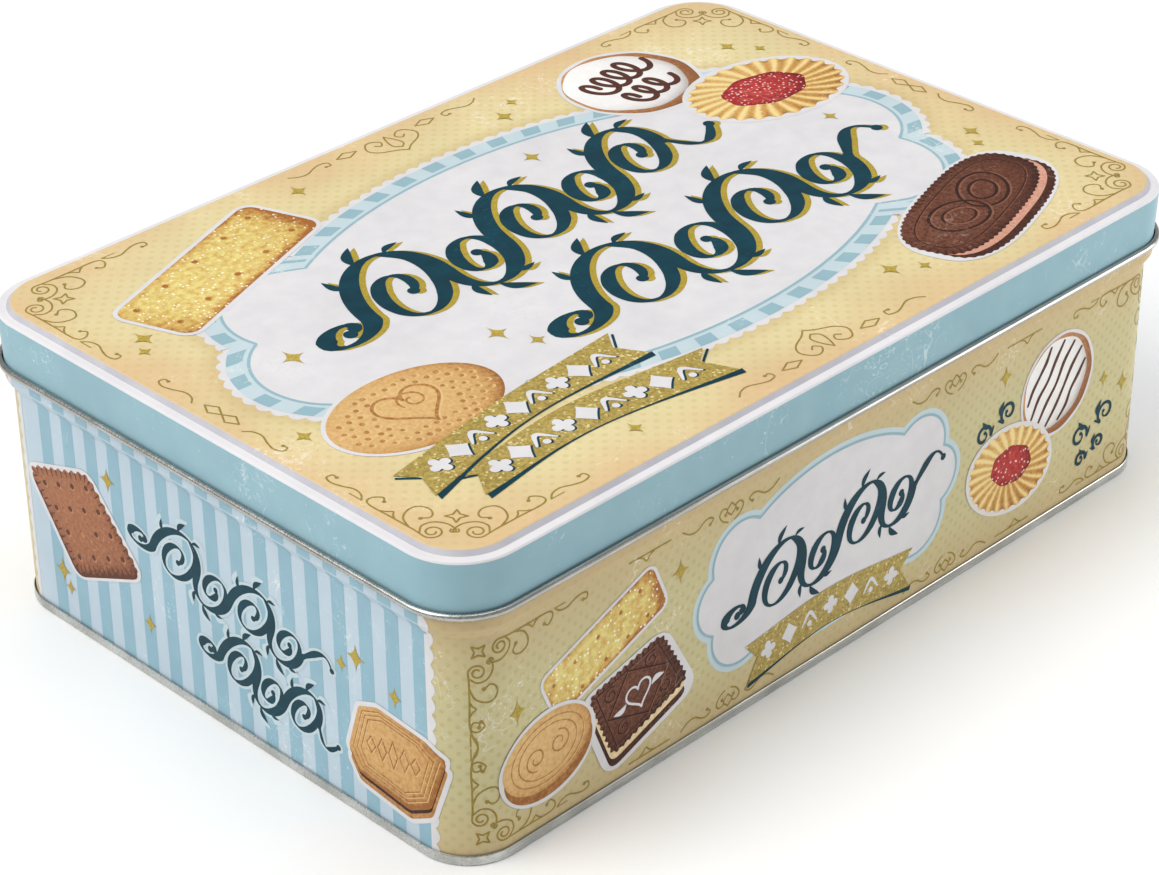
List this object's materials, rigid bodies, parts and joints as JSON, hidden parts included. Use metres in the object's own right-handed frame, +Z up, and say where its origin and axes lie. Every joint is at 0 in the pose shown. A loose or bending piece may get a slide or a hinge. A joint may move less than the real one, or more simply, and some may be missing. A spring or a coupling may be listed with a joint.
{
  "type": "cookie tin",
  "caption": "Rectangular tinplate biscuit tin with rounded corners and a lift-off lid, for storing biscuits.",
  "frame": {"origin": "on the ground plane, under the middle of the tin", "axes": "+X along the long side, -Y out of the front long side, +Z up, the way the lid lifts"},
  "size_m": [0.23, 0.155, 0.075],
  "materials": {
    "lid": "printed and varnished tinplate, pale blue skirt and cream panel",
    "body_wall": "printed and varnished tinplate, cream",
    "base": "bare bright tinplate"
  },
  "bodies": {
    "tin_body": {"body_wall": "body_wall", "base": "base"},
    "lid": {"lid": "lid"}
  },
  "joints": [
    {"name": "lid_lift", "type": "slide", "parent": "tin_body", "child": "lid", "axis": [0, 0, 1], "range_m": [0, 0.12]}
  ]
}
